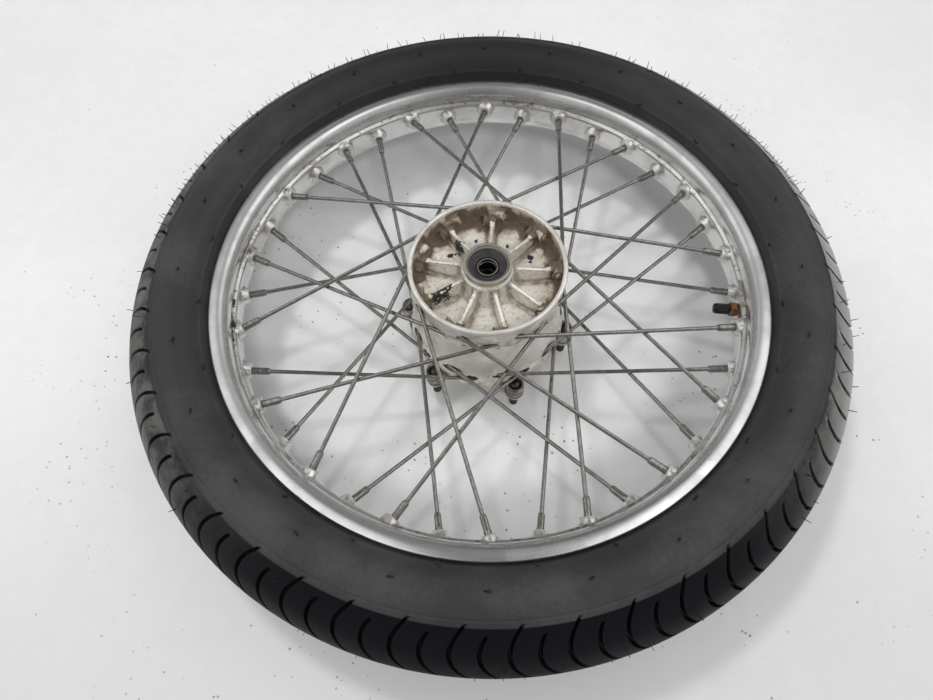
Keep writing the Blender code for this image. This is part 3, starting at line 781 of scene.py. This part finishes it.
def make_rim():
    """The rim's ring, with a raised and dished seat for each nipple on its inside face."""
    half = [(221.5, 8.6, 1.0), (222.6, 10.4, 0.8), (225.0, 11.2, 1.0), (226.2, 19.5, 2.5), (230.6, 25.0, 2.5)]
    half += [(235.5, 26.0, 3.0), (241.6, 25.2, 1.2), (242.0, 22.4, 0.6), (232.5, 22.2, 2.0), (229.4, 20.0, 1.5)]
    half += [(228.6, 12.5, 2.0), (223.7, 9.0, 2.0)]
    outline = half + [(r, -z, corner) for r, z, corner in reversed(half)]
    outline = np.array(divided(rounded(outline, 1.0), 1.5))
    radius, height = outline.T
    off_middle = np.abs(height)
    near = np.array([0, 0.28, 0.56, 0.84, 1.1, 1.3, 1.5, 1.7, 1.9, 2.2, 2.7, 3.5, 4.4])
    offsets = np.concatenate([-near[:0:-1], near])
    columns = np.concatenate([spoke.rim_angle + offsets for spoke in SPOKES])
    grid = swept(outline, np.radians(columns))
    back = (radius > 223.0) & (off_middle < 9.2)
    facing_in = (radius < 226.5) & (off_middle < 19) & ~back
    chalk = np.zeros(grid.shape[:2])
    for index, spoke in enumerate(SPOKES):
        here = slice(index * len(offsets), (index + 1) * len(offsets))
        points = grid[facing_in, here]
        t = (points - spoke.origin) @ spoke.direction
        off_line = np.linalg.norm(points - spoke.origin - t[..., None] * spoke.direction, axis=2)
        lift = unit((KNOB_R - off_line) / (KNOB_R - KNOB_TOP_R))
        lift = lift * lift * (3 - 2 * lift)
        dish = unit((NIPPLE_R + 1.1 - off_line) / 1.1)
        raised = np.minimum(spoke.seat - KNOB_HEIGHT + dish - t, 0) * lift
        grid[facing_in, here] = points + raised[..., None] * spoke.direction
        chalk[facing_in, here] = unit((10.5 - off_line) / 6.0)
    satin = unit((232.5 - radius) / 1.5) * (off_middle < 25.2)
    turned_by = (columns - 186 + 180) % 360 - 180
    low_wall = (np.abs(radius - 224.6) < 1.4) & between(height, 9.5, 13.5)
    crevice = (np.abs(radius - 224.4) < 2.2) & (np.abs(off_middle - 11) < 2.6)
    all_round = np.ones(len(columns))
    attributes = {
        "crevice": np.outer(crevice, all_round),
        "corroded": chalk,
        "satin": np.outer(satin, all_round),
        "scuff": np.outer(low_wall, np.exp(-((turned_by / 26) ** 2))),
    }
    shape = grid.reshape(-1, 3), [ring_faces(len(outline), len(columns), True)]
    new_piece("rim_body", shape, RIM_LOOK, "rim", sharp=50, attributes=attributes)


# ---------------------------------------------------------------- hub


def outline_table(outline, across, up):
    """Signed distance, negative inside, to a closed outline at every (across, up) pair."""
    a, u = np.meshgrid(across, up, indexing="ij")
    best = np.full(a.shape, 1e9)
    inside = np.zeros(a.shape, bool)
    for (x0, y0), (x1, y1) in zip(outline, outline[1:] + outline[:1]):
        dx, dy = x1 - x0, y1 - y0
        t = unit(((a - x0) * dx + (u - y0) * dy) / max(dx * dx + dy * dy, 1e-12))
        best = np.minimum(best, np.hypot(a - x0 - t * dx, u - y0 - t * dy))
        crosses = (y0 > u) != (y1 > u)
        if dy:
            inside ^= crosses & (a < x0 + (u - y0) * dx / dy)
    return np.where(inside, -best, best).astype(np.float32)


def smooth_union(first, second, blend):
    h = unit(0.5 + 0.5 * (second - first) / blend)
    return second * (1 - h) + first * h - blend * h * (1 - h)


def cut(body, tool, blend=0.6):
    return -smooth_union(-body, tool, blend)


def folded(x, y, first, repeat):
    """The plane folded so that a feature at angle first, repeated every so many degrees, lies on +X."""
    turned_by = np.degrees(np.arctan2(y, x)) - first
    fold = np.radians((turned_by + repeat / 2) % repeat - repeat / 2)
    radius = np.hypot(x, y)
    return (radius * np.cos(fold)).astype(np.float32), (radius * np.sin(fold)).astype(np.float32)


def fold_shift(spoke):
    """The whole number of folds, in degrees, that brings a spoke's head next to the first rib."""
    angle = np.degrees(np.arctan2(spoke.origin[1], spoke.origin[0])) - RIB_ANGLE
    return -SIDE_FOLD * round(angle / SIDE_FOLD)


def hub_field():
    """The hub casting as a signed distance field on a grid of voxels."""
    reach = 86.0
    span = np.arange(-reach, reach + HUB_VOXEL, HUB_VOXEL, dtype=np.float32)
    heights = np.arange(-66.0, 52.0, HUB_VOXEL, dtype=np.float32)
    x, y = np.meshgrid(span, span, indexing="ij")
    step = 0.25
    steps_across = np.arange(0, 125, step)

    def drawn(outline, across):
        """The distance to an outline drawn over (across, height), at each place on the grid."""
        table = outline_table(outline, steps_across, heights)
        place = np.clip(across / step, 0, table.shape[0] - 1.001)
        low = place.astype(int)
        share = (place - low)[..., None].astype(np.float32)
        return table[low] * (1 - share) + table[low + 1] * share

    casting = [(18.4, BOSS_TOP - 1.0, 0.2), (19.8, BOSS_TOP - 1.0, 0.6), (19.9, 41.0, 1.0), (22.6, 39.4, 1.2)]
    casting += [(23.4, 24.0, 4.0), (27.5, 16.5, 6.0), (44.0, 15.2, 8.0), (57.5, 17.5, 7.0), (62.8, 25.0, 5.0)]
    casting += [(64.2, 40.0, 2.0), (64.0, RING_TOP, 0.8), (68.0, RING_TOP, 1.2), (68.2, 43.5, 1.2)]
    casting += [(66.8, 40.8, 1.5), (66.4, 22.0, 7.0), (61.6, 6.0, 9.0), (60.8, -12.0, 8.0), (63.6, -22.0, 6.0)]
    casting += [(70.0, -30.0, 6.0), (72.0, -38.0, 5.0), (71.4, -48.0, 4.0), (67.0, -57.8, 1.5)]
    casting += [(60.0, -58.0, 0.6), (60.0, -48.0, 1.5), (57.0, -30.0, 4.0), (55.0, 6.0, 5.0), (44.0, 9.0, 5.0)]
    casting += [(28.0, 8.0, 4.0), (23.5, -10.0, 4.0), (22.8, -61.0, 0.8), (18.5, -61.0, 0.3)]
    casting += [(18.5, -52.3, 0.2), (17.8, -52.3, 0.2), (17.8, -40.7, 0.2), (15.0, -40.7, 0.2)]
    casting += [(15.0, 26.7, 0.2), (17.8, 26.7, 0.2), (17.8, 38.3, 0.2), (18.4, 38.3, 0.2)]
    body = drawn(rounded(casting, 1.0), np.hypot(x, y))

    rx, ry = folded(x, y, RIB_ANGLE, SIDE_FOLD)
    high = [(20, 12), (20, 36.5), (24, 37), (50, 31.5), (58, 33), (66, 41), (66, 12)]
    low = [(20, 11), (58, 11), (60, -31), (40, -37), (20, -41)]
    flare = unit((np.hypot(x, y) - 50) / 14).astype(np.float32)
    side = np.abs(ry) - 1.9 - 3.4 * flare**1.5
    body = smooth_union(body, np.maximum(drawn(high, rx), side[..., None]), 3.0)
    body = smooth_union(body, np.maximum(drawn(low, rx), (np.abs(ry) - 2.0)[..., None]), 3.0)

    lx, ly = folded(x, y, FIRST_LUG_ANGLE, 360 / LUG_COUNT)
    around = np.hypot(lx - LUG_CIRCLE_R, ly)

    def disc(radius, middle, half):
        """A round disc about each lug's axis."""
        return np.maximum((around - radius)[..., None], np.abs(heights - middle) - half)

    body = smooth_union(body, disc(8.3, -50.6, 7.6), 3.0)

    up = heights[None, None, :]
    pockets = np.float32(1e9)
    for spoke in SPOKES[:4]:
        upper = spoke.origin[2] > 0
        head_r, head_back, hole_r = (3.7, 2.0, 2.3) if upper else (4.2, 6.5, 2.9)
        for copy in (-1, 0, 1):
            turned_by = radians(-RIB_ANGLE + SIDE_FOLD * copy + fold_shift(spoke))
            c, s = cos(turned_by), sin(turned_by)
            ox, oy, oz = spoke.origin
            dx, dy, dz = spoke.direction
            ox, oy, dx, dy = c * ox - s * oy, s * ox + c * oy, c * dx - s * dy, s * dx + c * dy
            px, py, pz = rx[..., None] - ox, ry[..., None] - oy, up - oz
            t = px * dx + py * dy + pz * dz
            lean = spoke.bend * unit(1 - t / BEND_LENGTH) ** 2 / hypot(ox, oy)
            px, py, pz = px - t * dx + lean * ox, py - t * dy + lean * oy, pz - t * dz
            off_line = np.sqrt(px * px + py * py + pz * pz)
            if upper:
                taper = unit((t - 9) / 15)
                boss = np.maximum(off_line - 5.8 + 5.2 * taper, np.maximum(1.0 - t, t - 24))
                body = smooth_union(body, boss.astype(np.float32), 2.2)
            head = np.maximum(off_line - head_r, np.maximum(t - HEAD_THICK - 0.4, -head_back - t))
            hole = np.maximum(off_line - hole_r, np.maximum(t - 52, -t))
            pockets = np.minimum(pockets, np.minimum(head, hole).astype(np.float32))
    body = cut(body, pockets)
    body = cut(body, np.minimum(disc(5.9, -42.4, 4.4), disc(4.4, -52.0, 8.0)))
    return body.astype(np.float32), np.array([span[0], span[0], heights[0]], float)


def sampled(field, low_corner, points):
    """The field at wheel-frame points, by trilinear interpolation."""
    place = np.clip((points - low_corner) / HUB_VOXEL, 0, np.array(field.shape) - 1.001)
    base = place.astype(int)
    share = place - base
    total = np.zeros(len(points))
    for corner in np.ndindex(2, 2, 2):
        weight = np.prod(np.abs(1 - np.array(corner) - share), axis=1)
        total += weight * field[tuple((base + corner).T)]
    return total


def make_hub():
    field, low_corner = hub_field()
    grid = openvdb.FloatGrid(1.0)
    grid.copyFromArray(field)
    corners, triangles, quads = grid.convertToPolygons(isovalue=0.0, adaptivity=0.0)
    points = corners.astype(float) * HUB_VOXEL + low_corner
    radius, height = radii(points), points[:, 2]

    def value(where):
        return sampled(field, low_corner, where)

    normal = np.stack([value(points + step) - value(points - step) for step in np.eye(3) * 0.8], axis=1)
    normal /= np.maximum(np.linalg.norm(normal, axis=1, keepdims=True), 1e-9)
    cavity = 1 - (value(points + normal * 4) / 4 + value(points + normal * 9) / 9) / 2
    edge = unit((value(points - normal * 1.3) / 1.3 + 0.80) * 4) * ((radius < 56) | (height > 44.5))
    crease = unit((0.97 - value(points + normal * 2.2) / 2.2) * 5) * (radius < 64)
    recess = unit((66 - radius) / 2) * unit((height - 13) / 2)
    grime_and_shade = recess * unit((radius - 44) / 16) * (height < 44)
    # Painted shade: a darker band round the outer wall, just under the ring.
    grime_and_shade += (radius > 55) * unit((42 - height) / 12) * unit((height - 18) / 6) * 0.8
    grime_and_shade += (radius > 60) * unit((-20 - height) / 16) * 0.8
    burn = np.zeros(len(points))
    for out, degrees, up, size in BURNS:
        distance = np.linalg.norm((points - polar(out, degrees, up)) / np.array([1, 1, 1.6]), axis=1)
        burn = np.maximum(burn, np.clip(1.5 - distance / size, 0, 0.95))
    attributes = {
        "cavity": unit(cavity),
        "edge": edge,
        "crease": crease,
        "recess": recess,
        "burn": burn,
        "grime_and_shade": grime_and_shade,
        "bare": unit((radius - 73.0) / 1.5),
    }
    faces = [group.astype(int) for group in (triangles, quads) if len(group)]
    new_piece("hub_casting", (points, faces), HUB_LOOK, "hub", sharp=70, attributes=attributes)

    lip = [(18.5, 38.4), (18.5, BOSS_TOP - 0.1, 0.3), (19.3, BOSS_TOP, 0.3), (BOSS_R, BOSS_TOP - 0.1, 0.5)]
    lip += [(BOSS_R, 42.2), (20.2, 41.4, 0.5), (20.2, 38.4)]
    new_piece("hub_boss_lip", turned_ring(rounded(lip, 0.4), 160), LIP_LOOK, "hub")


def hex_nut(outline, corner, spacing, across):
    points, faces = turned_ring(divided(rounded(outline, corner), spacing), 72)
    return limited_to_prism(points, 6, across), faces


def make_studs():
    """A domed bolt, a washer and a nut at each lug."""
    bolt = [(0, -42.5), (2.2, -42.7, 0.8), (4.4, -44.0, 1.2), (5.3, -45.6, 0.4), (4.0, -45.7, 0.2)]
    bolt += [(4.0, -84.2, 0.3), (3.3, -85.0, 0.3), (0, -85.0)]
    points, faces = turned_profile(bolt, 0.3, 0.22 * STUD_PITCH, 24)
    bolt_shape = threaded(points, STUD_PITCH, 0.6, -84.6, -60.0, 3.0), faces
    washer = rounded([(4.2, -58.3), (9.1, -58.3), (9.1, -60.0), (4.2, -60.0)], 0.4)
    nut = [(4.0, -60.0), (6.3, -60.0), (7.5, -60.7), (7.5, -66.1), (6.3, -66.8), (4.0, -66.8)]
    shapes = (
        ("bolt", bolt_shape, BOLT_LOOK),
        ("washer", turned_ring(washer, 48), STUD_LOOK),
        ("nut", hex_nut(nut, 0.15, 1.2, 13.0), STUD_LOOK),
    )
    for index in range(LUG_COUNT):
        node = f"flange_stud_{index + 1}"
        centre = node_points(node).mean(axis=0) * np.array([1, 1, 0])
        for part, (points, faces), look in shapes:
            turn = turn_matrix((0, 0, 1), polar(1, 17 * index)) if part == "nut" else np.eye(3)
            new_piece(f"{node}_{part}", (placed(points, centre, turn), faces), look, node)


# ---------------------------------------------------------------- valve, seals and core


def make_valve():
    """Stem, nut and cap. Their heights are negative distances from the axle along the valve's line."""
    inward = turn_matrix(-polar(1, VALVE_ANGLE))

    def add(node, shape, look, body="wheel"):
        points, faces = shape
        new_piece(f"{node}_body", (placed(points, np.zeros(3), inward), faces), look, node, body=body)

    stem = [(0, -203.6), (2.0, -203.6, 0.3), (2.55, -204.4, 0.3), (2.55, -215.2, 0.3), (3.6, -215.9, 0.3)]
    stem += [(3.6, -242.0, 0.4), (0, -242.0)]
    points, faces = turned_profile(stem, 0.3, 0.2 * STEM_PITCH, 28)
    points = threaded(points, STEM_PITCH, 0.38, -241, -216.4, 3.0)
    points = threaded(points, STEM_PITCH, 0.3, -215, -204.6, 2.2)
    add("valve_stem", (points, faces), STEM_LOOK)

    nut = [(3.75, -214.9), (6.0, -214.9), (7.0, -215.5), (7.0, -219.7), (6.0, -220.3), (3.75, -220.3)]
    add("valve_nut", hex_nut(nut, 0.25, 0.9, 11.8), NUT_LOOK)

    cap = [(0, -200.5), (2.6, -200.5, 0.8), (4.1, -201.2, 0.7), (4.72, -203.2, 0.5), (4.72, -214.2, 0.5)]
    cap += [(4.2, -214.5, 0.2), (3.1, -214.5, 0.2), (3.1, -203.0, 0.2), (0, -203.0)]
    points, faces = turned_profile(cap, 0.3, 0.8, 96)
    turned_by = np.arctan2(points[:, 1], points[:, 0])
    ribbed = (radii(points) > 4.3) & between(points[:, 2], -213.4, -203.6)
    notch = 0.42 * (0.5 - 0.5 * np.cos(turned_by * CAP_RIBS)) ** 0.7
    points = with_radii(points, ribbed, radii(points) - notch)
    add("valve_cap", (points, faces), CAP_LOOK, "valve_cap")


def make_core():
    """Both shaft seals, and the collar and the distance tube that the axle passes through."""
    seal = [(10.0, 38.9, 0.2), (18.1, 38.9, 0.2), (18.1, 45.3, 0.4), (17.2, 45.5, 0.3), (16.4, 45.0, 0.3)]
    seal += [(15.8, 44.2, 0.3), (14.9, 44.0, 0.3), (13.2, 43.0, 0.4), (12.6, 43.2, 0.3), (11.4, 42.2, 0.4)]
    seal += [(10.1, 41.8, 0.3)]
    far = [(r, -z - 14.1, *corner) for r, z, *corner in seal]
    for side, outline in (("open", seal), ("flange", far)):
        shape = turned_ring(rounded(outline, 0.3), 144)
        new_piece(f"seal_{side}_body", shape, SEAL_LOOK, f"seal_{side}_side")
    collar = [(7.6, 38.4), (9.3, 38.4), (9.3, 41.5, 0.5), (8.8, 42.0, 0.3), (8.0, 42.0, 0.3), (7.6, 41.4, 0.3)]
    tube = divided(rounded([(7.6, -40.6), (9.8, -40.6), (9.8, 26.6), (7.6, 26.6)], 0.3), 8)
    for node, outline in (("axle_collar", rounded(collar, 0.1)), ("distance_tube", tube)):
        new_piece(f"{node}_body", turned_ring(outline, 96), TUBE_LOOK, node, body="core")


def make_bearings():
    """Rings with raceways, and a ball cage with round balls, for both bearings."""
    half, race, ball_r = 5.5, 2.2, 2.8

    def ring(race_r, back_r, deepest):
        """A ring's outline: its back, and the side with the raceway."""
        flat = [(race_r, half), (back_r, half), (back_r, -half), (race_r, -half)]
        return flat + [(race_r, -race, 0.6), (deepest, 0, 2), (race_r, race, 0.6)]

    rings = (("outer", ring(15.7, 17.5, 16.0), "wheel"), ("inner", ring(9.3, 7.6, 9.0), "core"))
    turns = np.linspace(0, pi, 13)
    ball, faces = turned_solid([(ball_r * sin(turn), ball_r * cos(turn)) for turn in turns], 20)
    for side, top in (("open_side", 38.0), ("flange_side", -41.0)):
        middle = top - half
        for kind, outline, body in rings:
            node = f"bearing_{kind}_ring_{side}"
            lifted = [(r, z + middle, *corner) for r, z, *corner in outline]
            new_piece(f"{node}_body", turned_ring(rounded(lifted, 0.35), 96), STEEL_LOOK, node, body=body)
        node, body = f"ball_cage_{side}", f"balls_{side}"
        low, high = middle - race, middle + race
        cage = rounded([(11.9, high), (13.1, high), (13.1, low), (11.9, low)], 0.4)
        new_piece(f"{node}_ring", turned_ring(cage, 96), STEEL_LOOK, node, body=body)
        balls = joined([(ball + polar(12.5, 45 * index, middle), faces) for index in range(8)])
        new_piece(f"{node}_balls", balls, BALL_LOOK, node, body=body)


def dress_inner_nodes():
    """The tube and the tape stay as the CAD made them and get a finish only."""
    for node, (material, slot) in (("inner_tube", TUBE_RUBBER), ("rim_tape", TAPE_LOOK)):
        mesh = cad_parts[node].data
        mesh.materials.clear()
        mesh.materials.append(material)


# ---------------------------------------------------------------- stage


def make_floor():
    """A pale floor under the flange side of the lying wheel."""
    floor_y, half = 0.086, 4.0
    mesh = bpy.data.meshes.new("floor")
    corners = [(-half, floor_y, -half), (half, floor_y, -half), (half, floor_y, half), (-half, floor_y, half)]
    mesh.from_pydata(corners, [], [(0, 1, 2, 3)])
    mesh.materials.append(pale_floor())
    linked("floor", mesh)


def make_world():
    """Soft light: white overhead, darker just above the horizon, and brighter towards the two sides."""
    world = bpy.data.worlds.new("soft_room")
    bpy.context.scene.world = world
    world.use_nodes = True
    sky = Graph(world.node_tree)
    x, y, _ = sky.parts(sky.wire("ShaderNodeTexCoord", "Generated"))
    ramp = sky.nodes.new("ShaderNodeValToRGB")
    sky.feed(ramp.inputs[0], sky.spread(y, 1.0, -1.0, kind="LINEAR"))
    low, high = ramp.color_ramp.elements
    low.color, low.position = (0.75, 0.75, 0.75, 1), 0.40
    high.color, high.position = (1.0, 1.0, 1.0, 1), 0.95
    ramp.color_ramp.elements.new(0.62).color = (0.36, 0.37, 0.39, 1)
    shade = sky.spread(sky.maths("ABSOLUTE", x), 0.05, 0.36, 0.42, 1.75, kind="LINEAR")
    background = sky.nodes["Background"]
    sky.feed(background.inputs["Color"], sky.mix(1.0, Wire(sky, ramp.outputs[0]), shade, blend="MULTIPLY"))
    background.inputs["Strength"].default_value = 0.38


def add_area(name, place, size, power, glossy=True):
    """A square lamp aimed at the wheel's middle. One that isn't glossy is left out of reflections."""
    data = bpy.data.lights.new(name, "AREA")
    data.shape = "RECTANGLE"
    data.size = data.size_y = size
    data.energy = power
    light = linked(name, data)
    light.location = place
    light.rotation_euler = (-Vector(place)).to_track_quat("-Z", "Y").to_euler()
    light.visible_glossy = glossy


def make_camera():
    tilt, roll = radians(CAMERA_TILT), radians(CAMERA_ROLL)
    forward = Vector((0, sin(tilt), cos(tilt)))
    upright = Vector((0, -cos(tilt), sin(tilt)))
    flat = Vector((1, 0, 0))
    right = flat * cos(roll) + upright * sin(roll)
    up = upright * cos(roll) - flat * sin(roll)
    data = bpy.data.cameras.new("main_view")
    data.lens = CAMERA_LENS
    data.sensor_width = 36
    camera = linked("main_view", data)
    turn = Matrix((right, up, -forward)).transposed().to_4x4()
    camera.matrix_world = Matrix.Translation(Vector(CAMERA_PLACE)) @ turn
    bpy.context.scene.camera = camera
    bpy.context.scene.view_settings.view_transform = "Standard"


# A look is a material paired with the name of a slot.
TYRE = tyre_rubber(), "tyre_rubber"
TYRE_HAIR = plain_rubber("tyre_hair_look", (0.005, 0.005, 0.005), (0.012, 0.012, 0.012), 0.55), "tyre_rubber"
RIM_LOOK = polished_rim(), "polished_rim"
SPOKE_LOOK = galvanised("spoke_look", (0.36, 0.35, 0.325), 0.05), "galvanised_spoke"
NIPPLE_LOOK = galvanised("nipple_look", (0.33, 0.32, 0.295), 0.07), "galvanised_spoke"
HUB_LOOK = cast_hub(), "cast_hub"
LIP_LOOK = machined("boss_lip_look", (0.62, 0.585, 0.51), 0.34, 0.48), "cast_hub"
STUD_LOOK = machined("stud_look", (0.42, 0.415, 0.40), 0.18, 0.32), "stud_steel"
BOLT_LOOK = machined("bolt_look", (0.10, 0.095, 0.09), 0.25, 0.4), "stud_steel"
STEEL_LOOK = machined("bearing_look", (0.72, 0.72, 0.73), 0.12, 0.22), "bearing_steel"
BALL_LOOK = machined("ball_look", (0.78, 0.78, 0.79), 0.06, 0.1), "bearing_steel"
TUBE_LOOK = machined("tube_look", (0.30, 0.27, 0.24), 0.35, 0.5), "bearing_steel"
STEM_LOOK = galvanised("stem_look", (0.50, 0.46, 0.38), 0.05), "stem_steel"
NUT_LOOK = rusty_steel(), "rusty_nut"
CAP_LOOK = black_plastic(), "cap_plastic"
SEAL_LOOK = seal_rubber(), "seal_rubber"
TUBE_RUBBER = plain_rubber("inner_tube_look", (0.012, 0.012, 0.013), (0.028, 0.028, 0.029), 0.45), "tube_rubber"
TAPE_LOOK = plain_rubber("tape_look", (0.05, 0.045, 0.04), (0.11, 0.10, 0.085), 0.8), "tape_rubber"
SPOKES = [Spoke(number) for number in range(SPOKE_COUNT)]

make_tyre()
make_rim()
make_spokes()
make_hub()
make_studs()
make_valve()
make_core()
make_bearings()
dress_inner_nodes()
make_floor()
make_world()
add_area("left", (-1.6, -2.2, 0.1), 2.6, 10)
add_area("right", (1.7, -2.2, 0.3), 2.6, 14)
add_area("above", (-0.6, -2.3, 0.5), 0.3, 16, glossy=False)
add_area("front", (0.4, -2.2, -1.6), 0.5, 25, glossy=False)
add_area("back", (0.3, 2.4, 1.0), 2.0, 10)
make_camera()
